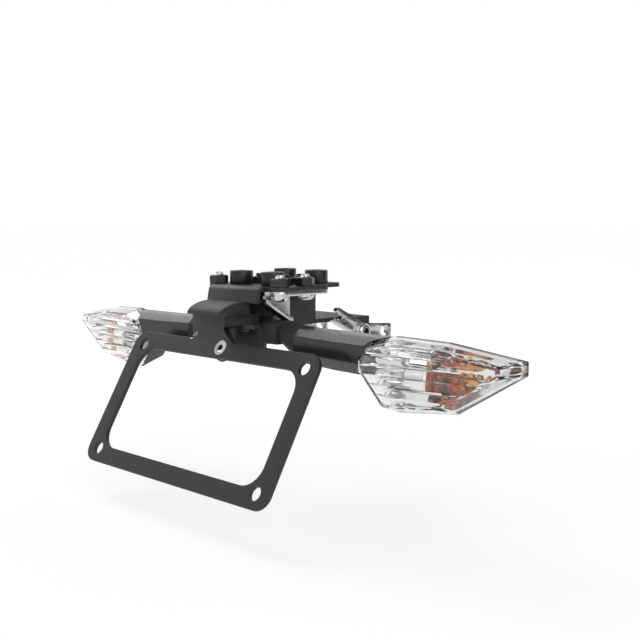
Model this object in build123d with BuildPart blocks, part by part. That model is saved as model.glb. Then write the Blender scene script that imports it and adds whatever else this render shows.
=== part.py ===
"""Tail tidy: a folded hanger that carries a number plate frame, a plate lamp and two turn signals.

Frame: X to the right, Y forward, Z up, in millimetres. The origin is the middle of the top faces
of the four spacers that meet the underside of the tail.
"""

import os
from math import atan2, cos, degrees, radians, sin, tan

from build123d import *

os.makedirs("parts", exist_ok=True)

# Sheet metal and general fits
sheet = 2.5  # thickness of every folded sheet piece
bend_radius = 4.0  # outer radius of the folds
edge_break = 0.4  # rounding of the plate frame's edges
clearance = 0.2  # gap all round a screw in its hole
thread_gap = 0.05  # gap between a thread and its hole

# Spacers and the four bolts to the tail
bolts_across = 28.0
bolts_along = 36.0
bolt_bore = 6.6
spacer_diameter = 14.0
spacer_height = 8.0

# Deck: the top plate with a turned-down rear lip and two side wings
deck_width = 44.0
deck_back = 36.5
deck_front = 33.0
deck_lip = 9.0
deck_lip_flare = 1.8  # the lip leans back towards its lower edge
wing_width = 66.0
wing_back = 30.0
wing_length = 42.0
deck_corner = 5.0

# Links: stainless gussets between the deck's wings and the hanger's cheeks
link_slope = 30.0  # fall of the cut-away lower edge, degrees
link_heel = 4.5  # height of the web at its rear end
link_lip = 3.0
link_screws_along = 20.0

# Hanger: cheeks up to the deck, shelf with ears for the signals and the stays, lug behind the plate frame
cheek_height = 19.0
cheek_flange = 15.0
hanger_screws_along = 11.0
shelf_width = 39.0
shelf_front = 52.0
strap_back = 41.6
strap_drop = 10.3
strap_shoulder = 6.0
lug_radius = 7.0
ear_width = 18.0
ear_below = 4.4
wall_below = 6.4  # depth of the wall between the ears, below the studs
cross_width = 54.0  # over the ears of the stays
cross_length = 19.0
cross_ear_below = 7.5

# Plate frame
plate_lean = 30.0
plate_width = 166.0
plate_height = 87.0
plate_side_bar = 11.5
plate_bar = 10.5
plate_corner = 9.0
window_corner = 12.5
plate_hole_side = 10.5  # from the middle of a corner hole to the side edge
plate_hole_end = 8.5  # and to the upper or lower edge
plate_hole = 8.0
plate_gap = 1.6
screw_inset = 3.8
tab_left = 28.8  # the folded tab above the frame stands more to the left
tab_right = 0.5
tab_flare = 14.0  # further reach of the tab where it runs into the top bar
tab_flare_height = 8.5
relief_length = 12.0
relief_width = 1.3
relief_angle = 33.0

# Stays: stainless straps on the front ears, forked at the back
stay_width = 10.0
stay_thickness = 3.0
stay_corner = 2.0
stay_rise = 12.0
stay_rear_reach = 24.0  # from the screw back to the forked end
stay_front_reach = 27.0
stay_fall = 2.0
stay_screw_drop = 6.3
stay_fork = 6.0
stay_slot = 4.4
stay_hole_from_end = 7.0

# Plate lamp
lamp_width = 34.0
lamp_base_width = 29.0
lamp_base_height = 6.0
lamp_back = 59.0
lamp_hood_height = 7.3
lamp_hood_edge = 3.5  # rounding of the hood's sides
lamp_hood_flat = 0.2  # level share of the hood's length, at its front
quarter_turn = 90.0  # the hood's curve, from its crown down to its rear edge
lamp_base_back = 55.0
lamp_base_length = 26.0
lamp_window_width = 24.0
lamp_window_length = 10.5
lamp_window_margin = 1.8
lamp_lens_thickness = 2.0
lamp_ledge = 1.0
lamp_box_height = 5.5
board_thickness = 1.2
led_size = 3.4
led_height = 1.6
led_count = 3
led_pitch = 7.0
lamp_screws_across = 18.0
lamp_screw_from_front = 4.5
lamp_screw_depth = 7.0

# Turn signals: damper, stalk and head
signal_back = 23.0
damper_length = 12.0  # block of the damper, without its neck
damper_width = 18.0
damper_below = 3.5
damper_above = 9.0
damper_corner = 1.5
stalk_length = 68.5
stalk_edge = 1.5
stalk_top_face = 0.55  # flat share of the top
stalk_lower_face = 0.5  # flat share of the underside
stalk_shoulder = 0.78  # height of the upper corners, as a share of the section
stalk_crease = 0.33  # height of the lower corners
head_drop = 0.5
head_sweep = 6.4  # the heads lean forward towards their tips, degrees
head_tip = 88.0
head_low = -31.8
head_middle = (5.0, -9.0)  # the point that shell and lens taper towards
head_corner = 5.0
head_tip_corner = 0.7
head_wall = 2.0
head_gap = 0.3
shell_depth = 14.0
shell_taper = (0.86, 0.74)
seal_thickness = 0.8
seal_width = 0.9
lens_depth = 13.0
lens_taper = (0.9, 0.82)
lens_edge = 2.0
flute_root = 0.2  # thickness of the lens's fluted layer between two flutes
flute_pitch = 5.2  # level flutes across the whole lens
flute_height = 1.0
flute_count = 9
upright_reach = 58.0  # start of the upright flutes near the tip
upright_pitch = 4.2
upright_height = 0.7
upright_count = 6
reflector_wall = 1.2
reflector_taper = (0.83, 0.68)
shroud_edge = 2.0
shroud_mouth = 1.5  # length of the shroud beyond the bulb's cap
bulb_drop = 13.2
bulb_ahead = 1.0  # the bulb's axis lies in front of the parting plane
bulb_diameter = 16.0
bulb_length = 20.0
cap_diameter = 15.0
cap_length = 10.0
cap_start = 25.0
socket_wall = 1.0
socket_length = 8.0
socket_post = 8.0
stud_grip = 12.0  # length of the stud inside the stalk

# Fasteners
m6 = 6.0
m6_head = 10.5
m6_head_height = 3.3
m6_nut = 10.0
m6_nut_height = 5.0
m6_key = 4.0
m5 = 5.0
m5_csk = 9.4
csk_angle = 90.0
m5_key = 3.0
m5_nut = 8.0
m5_nut_height = 4.0
m5_head = 9.5
m5_head_height = 2.75
m3 = 3.0
m3_head = 5.6
m3_head_height = 2.2
m3_key = 1.6
screw_dome = 0.7  # rounded share of a screw head's height
washer_diameter = 9.0
washer_thickness = 1.2
key_depth = 1.8
screw_end = 2.0  # screw length beyond its nut

# Corners of a signal head, seen from behind: reach outwards and height
head_corners = [
    (1.0, 4.8),
    (14.0, 8.4),
    (46.0, 7.4),
    (head_tip, 1.6),
    (head_tip, -5.4),
    (50.5, -28.4),
    (13.0, head_low),
    (-5.5, -8.2),
]

# Sections of the damper's neck and of the stalk that goes on from it: distance from the damper's block,
# height above and below the stud, depth to the rear and to the front
neck_end = 16.5
neck_sections = [
    (0.0, 8.0, 3.4, 7.0, 7.0),
    (neck_end, 7.3, 12.2, 10.0, 10.0),
]
stalk_sections = [
    (neck_end, 7.3, 12.2, 10.0, 10.0),
    (43.5, 6.8, 13.7, 10.5, 10.5),
    (80.5, 6.8, 14.5, 11.0, 9.0),
]

# Levels and places that follow from the sizes above
deck_top = -spacer_height
deck_under = deck_top - sheet
flange_under = deck_under - sheet
shelf_top = deck_under - cheek_height
shelf_under = shelf_top - sheet
bend_z = shelf_top - strap_drop
shelf_back = bend_radius - strap_back
lean = radians(plate_lean)
screw_drop = plate_gap + screw_inset
link_inner = shelf_width / 2
link_outer = link_inner + sheet
link_back = -deck_back + bend_radius
link_end = wing_length - wing_back
link_screw_x = (link_outer + wing_width / 2) / 2
link_row = -wing_back + m6_head / 2 + clearance
link_rows = (link_row, link_row + link_screws_along)
heel_z = flange_under - link_heel
slope_end = link_back + (heel_z - shelf_top) / tan(radians(link_slope))
hanger_screw_x = link_inner - cheek_flange / 2
hanger_row = (slope_end + link_end - hanger_screws_along) / 2
hanger_rows = (hanger_row, hanger_row + hanger_screws_along)
ear_outer = shelf_width / 2
stud_z = shelf_under - washer_diameter / 2 - head_gap
stud_y = -signal_back
root_x = ear_outer + damper_length
head_x = root_x + stalk_length
stalk_x = root_x + neck_end
stay_inner = cross_width / 2
stay_y = shelf_front - cross_length / 2
stay_z = shelf_under - stay_screw_drop
lamp_screw_y = -lamp_base_back + lamp_base_length - lamp_screw_from_front
wall_back = lamp_screw_y + m3_head / 2 + 2 * clearance
lamp_window_y = -lamp_base_back + lamp_window_margin + lamp_window_length / 2
window_ceiling = shelf_top + lamp_lens_thickness + lamp_box_height
board_margin = lamp_ledge + clearance
sweep_angle = radians(head_sweep)

hood_base = shelf_top + lamp_base_height
lip_foot = -deck_back - deck_lip_flare
hood_front = lip_foot - clearance
hood_length = lamp_back + hood_front
hood_top = hood_base + lamp_hood_height
cap_end = cap_start + cap_length
bulb_end = cap_end + bulb_length
shell_floor = shell_depth - head_wall
lens_back = seal_thickness + lens_depth
lens_floor = lens_back - head_wall
nut_stack = m5_nut_height + washer_thickness

lug_plane = Plane(origin=(0, -strap_back, bend_z), x_dir=(1, 0, 0), z_dir=(0, -cos(lean), sin(lean)))
plate_face = lug_plane.offset(sheet)
screw_plane = Plane(
    origin=plate_face.from_local_coords((0, -screw_drop, 0)), x_dir=(1, 0, 0), z_dir=lug_plane.z_dir
)
stud_plane = Plane(origin=(0, stud_y, stud_z), x_dir=(0, 1, 0), z_dir=(1, 0, 0))
head_plane = Plane(
    origin=(head_x, stud_y, stud_z - head_drop),
    x_dir=(cos(sweep_angle), sin(sweep_angle), 0),
    z_dir=(sin(sweep_angle), -cos(sweep_angle), 0),
)
bulb_plane = Plane(
    origin=head_plane.from_local_coords((0, -bulb_drop, -bulb_ahead)),
    x_dir=(0, 0, 1),
    z_dir=head_plane.x_dir,
)


def write(piece, name):
    """Label one finished piece and write it."""
    piece.label = name
    export_step(piece, f"parts/{name}.step")


def write_pair(piece, name):
    """Write a piece of the right side, and its mirror image for the left side."""
    write(piece, f"{name}_right")
    write(mirror(piece, about=Plane.YZ), f"{name}_left")


def folded(points, thickness=sheet, across=0.0):
    """Side view of a folded sheet: its outer faces follow the points, front end first."""
    with BuildSketch(Plane.YZ.offset(across)) as profile:
        with BuildLine():
            FilletPolyline(*points, radius=bend_radius)
            offset(amount=thickness, side=Side.LEFT)
        make_face()
    return profile.sketch


def head_outline(depth, taper=(1, 1), inset=0.0):
    """Outline of a signal head, seen from behind, at a depth behind its parting plane."""
    middle_reach, middle_rise = head_middle
    points = [
        (middle_reach + (reach - middle_reach) * taper[0], middle_rise + (rise - middle_rise) * taper[1])
        for reach, rise in head_corners
    ]
    with BuildSketch(head_plane.offset(depth)) as outline:
        with BuildLine():
            Polyline(*points, close=True)
        make_face()
        if inset:
            offset(amount=-inset, kind=Kind.INTERSECTION)
        fillet(outline.vertices().sort_by(Axis.X)[-2:], head_tip_corner)
        fillet(outline.vertices().sort_by(Axis.X)[:-4], head_corner)
    return outline.sketch


def stalk_section(reach, above, below, rear, front):
    """Eight-sided section of the stalk, with a crease low on its rear face."""
    crease = -below + stalk_crease * (above + below)
    shoulder = -below + stalk_shoulder * (above + below)
    with BuildSketch(stud_plane.offset(root_x + reach)) as section:
        with BuildLine():
            Polyline(
                (-stalk_top_face * rear, above),
                (stalk_top_face * front, above),
                (front, shoulder),
                (front, crease),
                (stalk_lower_face * front, -below),
                (-stalk_lower_face * rear, -below),
                (-rear, crease),
                (-rear, shoulder),
                close=True,
            )
        make_face()
        fillet(section.vertices(), stalk_edge)
    return section.sketch


def flute_row(plane, start, pitch, height, count):
    """Section of a row of round flutes that stand below the plane, with a thin layer above them."""
    with BuildSketch(plane) as row:
        with BuildLine():
            for i in range(count):
                left = start + i * pitch
                ThreePointArc(
                    (left, -flute_root), (left + pitch / 2, -flute_root - height), (left + pitch, -flute_root)
                )
            right = start + count * pitch
            Polyline((right, -flute_root), (right, 0), (start, 0), (start, -flute_root))
        make_face()
    return row.sketch


def button_screw(plane, size, head, head_height, key, length):
    """Round-headed screw: its head stands on the plane and its shank goes below it."""
    upward = Axis(plane.origin, plane.z_dir)
    with BuildPart(plane) as screw:
        Cylinder(head / 2, head_height, align=(Align.CENTER, Align.CENTER, Align.MIN))
        fillet(screw.edges().filter_by(GeomType.CIRCLE).sort_by(upward)[-1], screw_dome * head_height)
        Cylinder(size / 2, length, align=(Align.CENTER, Align.CENTER, Align.MAX))
        with BuildSketch(plane.offset(head_height)):
            RegularPolygon(key / 2, 6, major_radius=False)
        extrude(amount=-key_depth, mode=Mode.SUBTRACT)
    return screw.part


def hex_nut(plane, size, across, height):
    """Hexagon nut that stands on the plane."""
    with BuildPart() as nut:
        with BuildSketch(plane):
            RegularPolygon(across / 2, 6, major_radius=False)
            Circle(size / 2 + thread_gap, mode=Mode.SUBTRACT)
        extrude(amount=height)
    return nut.part


def facing(direction, *places):
    """Planes at the places, facing up (1) or down (-1)."""
    return [Plane(origin=place, x_dir=(1, 0, 0), z_dir=(0, 0, direction)) for place in places]


def sideways(direction, x, y, z):
    """A plane on the right and one on the left, facing outwards (1) or inwards (-1)."""
    right = Plane(origin=(x, y, z), x_dir=(0, direction, 0), z_dir=(direction, 0, 0))
    left = Plane(origin=(-x, y, z), x_dir=(0, -direction, 0), z_dir=(-direction, 0, 0))
    return [right, left]


def both_sides(x, z, *rows):
    """Points at the height z, right and left of the middle, one pair for each row."""
    return [(side * x, row, z) for side in (1, -1) for row in rows]


# Mount spacers, under the tail
with BuildPart() as mount_spacers:
    with BuildSketch(Plane.XY.offset(deck_top)):
        with GridLocations(bolts_across, bolts_along, 2, 2):
            Circle(spacer_diameter / 2)
            Circle(bolt_bore / 2, mode=Mode.SUBTRACT)
    extrude(amount=spacer_height)
write(mount_spacers.part, "mount_spacers")

# Deck, with its turned-down rear lip and the wings that the links bolt to
deck_line = [(deck_front, deck_top), (-deck_back, deck_top), (lip_foot, deck_top - deck_lip)]
with BuildPart() as deck:
    extrude(folded(deck_line), deck_width / 2, both=True)
    fillet(deck.edges().filter_by(Axis.Z).group_by(Axis.Y)[-1], deck_corner)
    with BuildSketch(Plane.XY.offset(deck_under)):
        with Locations((0, (link_end - wing_back) / 2)):
            RectangleRounded(wing_width, wing_length, deck_corner)
    extrude(amount=sheet)
    with Locations((0, 0, deck_top)):
        with GridLocations(bolts_across, bolts_along, 2, 2):
            Hole(bolt_bore / 2)
    with Locations(both_sides(link_screw_x, deck_top, *link_rows)):
        Hole(m6 / 2 + clearance)
    with Locations(both_sides(hanger_screw_x, deck_top, *hanger_rows)):
        Hole(m5 / 2 + clearance)
write(deck.part, "deck")

# Links: flange under the wing, web on the hanger's cheek, lip along the sloping edge
lip_rise = sheet / cos(radians(link_slope))
fold_x = link_inner + bend_radius
with BuildPart() as link:
    with BuildSketch(Plane.YZ.offset(link_inner)):
        with BuildLine():
            Polyline(
                (link_back, deck_under),
                (link_back, heel_z),
                (slope_end, shelf_top),
                (slope_end, deck_under),
                close=True,
            )
        make_face()
    extrude(amount=sheet)
    with BuildSketch(Plane.YZ.offset(link_outer)):
        with BuildLine():
            Polyline(
                (link_back, heel_z),
                (slope_end, shelf_top),
                (slope_end, shelf_top + lip_rise),
                (link_back, heel_z + lip_rise),
                close=True,
            )
        make_face()
    extrude(amount=link_lip)
    with BuildSketch(Plane.XY.offset(flange_under)):
        with Locations((wing_width / 2, link_end)):
            Rectangle(wing_width / 2 - fold_x, wing_length, align=(Align.MAX, Align.MAX))
        with Locations((link_inner, link_back)):
            Rectangle(bend_radius, slope_end - link_back, align=Align.MIN)
    extrude(amount=sheet)
    fillet(link.edges().filter_by(Axis.Z).group_by(Axis.X)[-1], deck_corner)
    fillet(link.edges().filter_by(Axis.Y).group_by(Axis.Z)[-1].group_by(Axis.X)[0], bend_radius)
    with Locations([(link_screw_x, row, deck_under) for row in link_rows]):
        Hole(m6 / 2 + clearance, depth=sheet)
write_pair(link.part, "link_bracket")

# Screws and nuts of the links, and those of the hanger's flanges
link_grip = 2 * sheet + m6_nut_height + screw_end
with BuildPart() as link_screws:
    for plane in facing(-1, *both_sides(link_screw_x, flange_under, *link_rows)):
        add(button_screw(plane, m6, m6_head, m6_head_height, m6_key, link_grip))
write(link_screws.part, "link_screws")
with BuildPart() as link_nuts:
    for plane in facing(1, *both_sides(link_screw_x, deck_top, *link_rows)):
        add(hex_nut(plane, m6, m6_nut, m6_nut_height))
write(link_nuts.part, "link_nuts")
hanger_grip = 2 * sheet + m5_nut_height + screw_end
with BuildPart() as hanger_screws:
    for plane in facing(-1, *both_sides(hanger_screw_x, flange_under, *hanger_rows)):
        add(button_screw(plane, m5, m5_head, m5_head_height, m5_key, hanger_grip))
write(hanger_screws.part, "hanger_screws")
with BuildPart() as hanger_nuts:
    for plane in facing(1, *both_sides(hanger_screw_x, deck_top, *hanger_rows)):
        add(hex_nut(plane, m5, m5_nut, m5_nut_height))
write(hanger_nuts.part, "hanger_nuts")

# Hanger: cheeks and flanges up to the deck, shelf with turned-down ears and a wall between them,
# strap and lug behind the plate frame
ear_end = stud_z - ear_below
wall_end = stud_z - wall_below
cross_ear_end = stay_z - cross_ear_below
lug_foot = lug_plane.from_local_coords((0, -screw_drop, 0))
strap_line = [
    (strap_shoulder - strap_back, shelf_top),
    (-strap_back, shelf_top),
    (-strap_back, bend_z),
    (lug_foot.Y, lug_foot.Z),
]
with BuildPart() as hanger:
    with BuildSketch(Plane.XY.offset(shelf_under)):
        with Locations((0, shelf_front)):
            Rectangle(shelf_width, shelf_front - shelf_back, align=(Align.CENTER, Align.MAX))
    extrude(amount=sheet)
    extrude(folded(strap_line), lug_radius, both=True)
    with BuildSketch(lug_plane):
        with Locations((0, -screw_drop)):
            Circle(lug_radius)
    extrude(amount=-sheet)
    for plane in sideways(-1, link_inner, 0, 0):
        with BuildSketch(plane):
            with BuildLine():
                toward = plane.x_dir.Y
                Polyline(
                    (toward * link_back, deck_under),
                    (toward * link_back, heel_z),
                    (toward * slope_end, shelf_top),
                    (toward * link_end, shelf_top),
                    (toward * link_end, deck_under),
                    close=True,
                )
            make_face()
        extrude(amount=sheet)
    with BuildSketch(Plane.XY.offset(flange_under)):
        with Locations((0, (slope_end + link_end) / 2)):
            Rectangle(2 * link_inner, link_end - slope_end)
            Rectangle(2 * (link_inner - cheek_flange), link_end - slope_end, mode=Mode.SUBTRACT)
        for side in (1, -1):
            with Locations((side * (link_inner - bend_radius / 2), link_back)):
                Rectangle(bend_radius, slope_end - link_back, align=(Align.CENTER, Align.MIN))
    extrude(amount=sheet)
    fillet(hanger.edges().filter_by(Axis.Y).group_by(Axis.Z)[-1].group_by(Axis.X)[0], bend_radius)
    fillet(hanger.edges().filter_by(Axis.Y).group_by(Axis.Z)[-1].group_by(Axis.X)[-1], bend_radius)
    with BuildSketch(Plane.XY.offset(shelf_under)):
        with Locations((0, stay_y)):
            Rectangle(cross_width, cross_length)
    extrude(amount=sheet)
    with BuildSketch(*sideways(-1, ear_outer, stud_y, shelf_top)):
        with Locations((0, (ear_end - shelf_top) / 2)):
            Rectangle(ear_width, shelf_top - ear_end)
    extrude(amount=sheet)
    with BuildSketch(Plane.XZ.offset(-wall_back)):
        with Locations((0, (wall_end + shelf_top) / 2)):
            Rectangle(shelf_width, shelf_top - wall_end)
    extrude(amount=-sheet)
    with BuildSketch(*sideways(-1, stay_inner, stay_y, shelf_top)):
        with Locations((0, (cross_ear_end - shelf_top) / 2)):
            Rectangle(cross_length, shelf_top - cross_ear_end)
    extrude(amount=sheet)
    with Locations(sideways(1, ear_outer, stud_y, stud_z)):
        Hole(m5 / 2 + clearance, depth=sheet)
    with Locations(sideways(1, stay_inner, stay_y, stay_z)):
        Hole(m6 / 2 + clearance, depth=sheet)
    with Locations(screw_plane):
        Hole(m5 / 2 + clearance, depth=2 * sheet + clearance)
    with Locations(both_sides(hanger_screw_x, deck_under, *hanger_rows)):
        Hole(m5 / 2 + clearance, depth=sheet)
    with Locations(both_sides(lamp_screws_across / 2, shelf_top, lamp_screw_y)):
        Hole(m3 / 2 + clearance, depth=sheet)
write(hanger.part, "hanger")

# Stays: straps on the outer faces of the front ears, down from the fork and then forward
stay_line = [
    (stay_y - stay_rear_reach, stay_z + stay_rise),
    (stay_y, stay_z),
    (stay_y + stay_front_reach, stay_z - stay_fall),
]
fork_angle = -degrees(atan2(stay_rise, stay_rear_reach))
stay_hole_z = stay_z - stay_fall * (1 - stay_hole_from_end / stay_front_reach)
with BuildPart() as stay:
    with BuildSketch(Plane.YZ.offset(stay_inner)) as strap:
        with BuildLine():
            Polyline(*stay_line)
        trace(line_width=stay_width)
        fillet(strap.vertices(), stay_corner)
        with Locations(stay_line[0]):
            SlotOverall(2 * stay_fork, stay_slot, rotation=fork_angle, mode=Mode.SUBTRACT)
        with Locations(stay_line[1]):
            Circle(m6 / 2 + clearance, mode=Mode.SUBTRACT)
        with Locations((stay_y + stay_front_reach - stay_hole_from_end, stay_hole_z)):
            Circle(bolt_bore / 2, mode=Mode.SUBTRACT)
    extrude(amount=stay_thickness)
write_pair(stay.part, "stay")

# Screws and nuts of the stays
stay_grip = stay_thickness + sheet + m6_nut_height + screw_end
with BuildPart() as stay_screws:
    for plane in sideways(1, stay_inner + stay_thickness, stay_y, stay_z):
        add(button_screw(plane, m6, m6_head, m6_head_height, m6_key, stay_grip))
write(stay_screws.part, "stay_screws")
with BuildPart() as stay_nuts:
    for plane in sideways(-1, stay_inner - sheet, stay_y, stay_z):
        add(hex_nut(plane, m6, m6_nut, m6_nut_height))
write(stay_nuts.part, "stay_nuts")

# Tab of the plate frame: folded up along the hanger's strap, flared on the right where it meets the top bar
plate_top = lug_plane.from_local_coords((0, -plate_gap, 0)).Z
tab_top = shelf_top - clearance
tab_line = [(lug_foot.Y, lug_foot.Z), (-strap_back, bend_z), (-strap_back, tab_top)]
tab_width = tab_left + tab_right + tab_flare
with BuildPart() as plate_tab:
    extrude(folded(tab_line, across=-tab_left), tab_width)
    with BuildSketch(Plane.XZ):
        with BuildLine():
            flare_top = (tab_right, plate_top + tab_flare_height)
            flare_end = (tab_right + tab_flare, plate_top)
            TangentArc(flare_end, flare_top, tangent=(-1, 0))
            Polyline(flare_top, (tab_right, shelf_top), (flare_end[0], shelf_top), flare_end)
        make_face()
        with Locations((-tab_left, bend_z)):
            SlotOverall(relief_length, relief_width, rotation=relief_angle)
    extrude(amount=2 * strap_back, both=True, mode=Mode.SUBTRACT)

# Plate frame, its countersunk screw and the nut behind the lug
plate_middle = -plate_gap - plate_height / 2
window_width = plate_width - 2 * plate_side_bar
window_height = plate_height - 2 * plate_bar
holes_across = plate_width - 2 * plate_hole_side
holes_up = plate_height - 2 * plate_hole_end
with BuildPart() as plate_frame:
    with BuildSketch(lug_plane):
        with Locations((0, plate_middle)):
            RectangleRounded(plate_width, plate_height, plate_corner)
            RectangleRounded(window_width, window_height, window_corner, mode=Mode.SUBTRACT)
    extrude(amount=sheet)
    fillet(plate_frame.faces().sort_by(Axis(lug_plane.origin, lug_plane.z_dir))[-1].edges(), edge_break)
    fillet(plate_frame.faces().sort_by(Axis(lug_plane.origin, lug_plane.z_dir))[0].edges(), edge_break)
    with BuildSketch(lug_plane):
        with Locations((0, plate_middle)):
            with GridLocations(holes_across, holes_up, 2, 2):
                Circle(plate_hole / 2)
    extrude(amount=sheet, mode=Mode.SUBTRACT)
    add(plate_tab.part)
    with Locations(screw_plane):
        CounterSinkHole(
            m5 / 2 + clearance, m5_csk / 2 + clearance, depth=sheet, counter_sink_angle=csk_angle
        )
write(plate_frame.part, "plate_frame")
with BuildPart(screw_plane) as plate_screw:
    cone_height = (m5_csk - m5) / 2 / tan(radians(csk_angle / 2))
    Cone(m5 / 2, m5_csk / 2, cone_height, align=(Align.CENTER, Align.CENTER, Align.MAX))
    Cylinder(
        m5 / 2, 2 * sheet + m5_nut_height + screw_end, align=(Align.CENTER, Align.CENTER, Align.MAX)
    )
    with BuildSketch(screw_plane):
        RegularPolygon(m5_key / 2, 6, major_radius=False)
    extrude(amount=-key_depth, mode=Mode.SUBTRACT)
write(plate_screw.part, "plate_screw")
plate_nut = hex_nut(screw_plane.offset(-2 * sheet - m5_nut_height), m5, m5_nut, m5_nut_height)
write(plate_nut, "plate_nut")

# Plate lamp: hood and base in one moulding, hollow above its window
with BuildPart() as lamp_housing:
    with BuildSketch(Plane.YZ):
        with BuildLine():
            crown = (hood_front - lamp_hood_flat * hood_length, hood_top)
            EllipticalCenterArc(
                (crown[0], hood_base),
                crown[0] + lamp_back,
                lamp_hood_height,
                start_angle=quarter_turn,
                arc_size=quarter_turn,
            )
            Polyline(crown, (hood_front, hood_top), (hood_front, hood_base), (-lamp_back, hood_base))
        make_face()
    extrude(amount=lamp_width / 2, both=True)
    fillet(lamp_housing.edges().filter_by(GeomType.ELLIPSE), lamp_hood_edge)
    with BuildSketch(Plane.XY.offset(shelf_top)):
        with Locations((0, -lamp_base_back)):
            Rectangle(lamp_base_width, lamp_base_length, align=(Align.CENTER, Align.MIN))
    extrude(amount=lamp_base_height)
    with BuildSketch(Plane.XY.offset(shelf_top)):
        with Locations((0, lamp_window_y)):
            Rectangle(lamp_window_width, lamp_window_length)
    extrude(amount=lamp_lens_thickness, mode=Mode.SUBTRACT)
    with BuildSketch(Plane.XY.offset(shelf_top)):
        with Locations((0, lamp_window_y)):
            Rectangle(lamp_window_width - 2 * lamp_ledge, lamp_window_length - 2 * lamp_ledge)
    extrude(amount=window_ceiling - shelf_top, mode=Mode.SUBTRACT)
    with BuildSketch(Plane.XY.offset(shelf_top)):
        with Locations((0, lamp_screw_y)):
            with GridLocations(lamp_screws_across, lamp_base_length, 2, 1):
                Circle(m3 / 2 + thread_gap)
    extrude(amount=lamp_screw_depth, mode=Mode.SUBTRACT)
write(lamp_housing.part, "lamp_housing")
with BuildPart() as lamp_lens:
    with BuildSketch(Plane.XY.offset(shelf_top)):
        with Locations((0, lamp_window_y)):
            Rectangle(lamp_window_width - 2 * thread_gap, lamp_window_length - 2 * thread_gap)
    extrude(amount=lamp_lens_thickness)
write(lamp_lens.part, "lamp_lens")
with BuildPart() as lamp_board:
    with BuildSketch(Plane.XY.offset(window_ceiling - board_thickness)):
        with Locations((0, lamp_window_y)):
            Rectangle(lamp_window_width - 2 * board_margin, lamp_window_length - 2 * board_margin)
    extrude(amount=board_thickness)
write(lamp_board.part, "lamp_board")
with BuildPart() as lamp_leds:
    with BuildSketch(Plane.XY.offset(window_ceiling - board_thickness)):
        with Locations((0, lamp_window_y)):
            with GridLocations(led_pitch, led_pitch, led_count, 1):
                Rectangle(led_size, led_size)
    extrude(amount=-led_height)
write(lamp_leds.part, "lamp_leds")
with BuildPart() as lamp_screws:
    for plane in facing(-1, *both_sides(lamp_screws_across / 2, shelf_under, lamp_screw_y)):
        add(button_screw(plane, m3, m3_head, m3_head_height, m3_key, sheet + lamp_screw_depth))
write(lamp_screws.part, "lamp_screws")

# Rubber dampers between the ears and the stalks: a block and a neck that widens to the stalk
with BuildPart() as damper:
    with BuildSketch(stud_plane.offset(ear_outer)):
        with Locations((0, (damper_above - damper_below) / 2)):
            RectangleRounded(damper_width, damper_above + damper_below, damper_corner)
    extrude(amount=damper_length)
    loft([stalk_section(*sizes) for sizes in neck_sections], ruled=True)
    with Locations(stud_plane.offset(stalk_x)):
        Hole(m5 / 2 + clearance, depth=stalk_x - ear_outer)
write_pair(damper.part, "signal_damper")

# Studs, washers and nuts that hold the stalks to the ears
stud_start = ear_outer - sheet - nut_stack - screw_end
with BuildPart() as stud:
    with BuildSketch(stud_plane.offset(stud_start)):
        Circle(m5 / 2)
    extrude(amount=stalk_x + stud_grip - stud_start)
write_pair(stud.part, "signal_stud")
with BuildPart() as washer:
    with BuildSketch(stud_plane.offset(ear_outer - sheet - washer_thickness)):
        Circle(washer_diameter / 2)
        Circle(m5 / 2 + clearance, mode=Mode.SUBTRACT)
    extrude(amount=washer_thickness)
write_pair(washer.part, "signal_washer")
stud_nut = hex_nut(stud_plane.offset(ear_outer - sheet - nut_stack), m5, m5_nut, m5_nut_height)
write_pair(stud_nut, "signal_nut")

# Signal bodies: stalk and shell in one moulding, open towards the lens
with BuildPart() as signal_body:
    loft([stalk_section(*sizes) for sizes in stalk_sections], ruled=True)
    extrude(head_outline(0, inset=-head_gap), lens_depth + shell_depth, mode=Mode.SUBTRACT)
    loft([head_outline(0), head_outline(-shell_depth, shell_taper)], ruled=True)
    loft(
        [head_outline(0, inset=head_wall), head_outline(-shell_floor, shell_taper, head_wall)],
        ruled=True,
        mode=Mode.SUBTRACT,
    )
    with BuildSketch(stud_plane.offset(stalk_x)):
        Circle(m5 / 2 + thread_gap)
    extrude(amount=stud_grip, mode=Mode.SUBTRACT)
write_pair(signal_body.part, "signal_body")

# Seals, clamped between body and lens all round
with BuildPart() as seal:
    extrude(head_outline(0), seal_thickness)
    extrude(head_outline(0, inset=seal_width), seal_thickness, mode=Mode.SUBTRACT)
write_pair(seal.part, "signal_seal")

# Lenses: clear bevelled covers, fluted on the inside of their rear face
lens_cavity = loft(
    [head_outline(seal_thickness, inset=head_wall), head_outline(lens_floor, lens_taper, head_wall)],
    ruled=True,
)
lens_inside = Plane(head_plane.from_local_coords((0, 0, lens_floor)), head_plane.x_dir, head_plane.z_dir)
level_plane = Plane(lens_inside.origin, lens_inside.y_dir, lens_inside.x_dir)
upright_plane = Plane(lens_inside.origin, lens_inside.x_dir, -lens_inside.y_dir)
with BuildPart() as flutes:
    extrude(flute_row(level_plane, head_low, flute_pitch, flute_height, flute_count), head_tip, both=True)
    upright_row = flute_row(upright_plane, upright_reach, upright_pitch, upright_height, upright_count)
    extrude(upright_row, head_tip, both=True)
with BuildPart() as signal_lens:
    loft(
        [
            head_outline(seal_thickness),
            head_outline(lens_back - lens_edge, lens_taper),
            head_outline(lens_back, lens_taper, lens_edge),
        ],
        ruled=True,
    )
    add(lens_cavity, mode=Mode.SUBTRACT)
    add(flutes.part & lens_cavity)
write_pair(signal_lens.part, "signal_lens")

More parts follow.
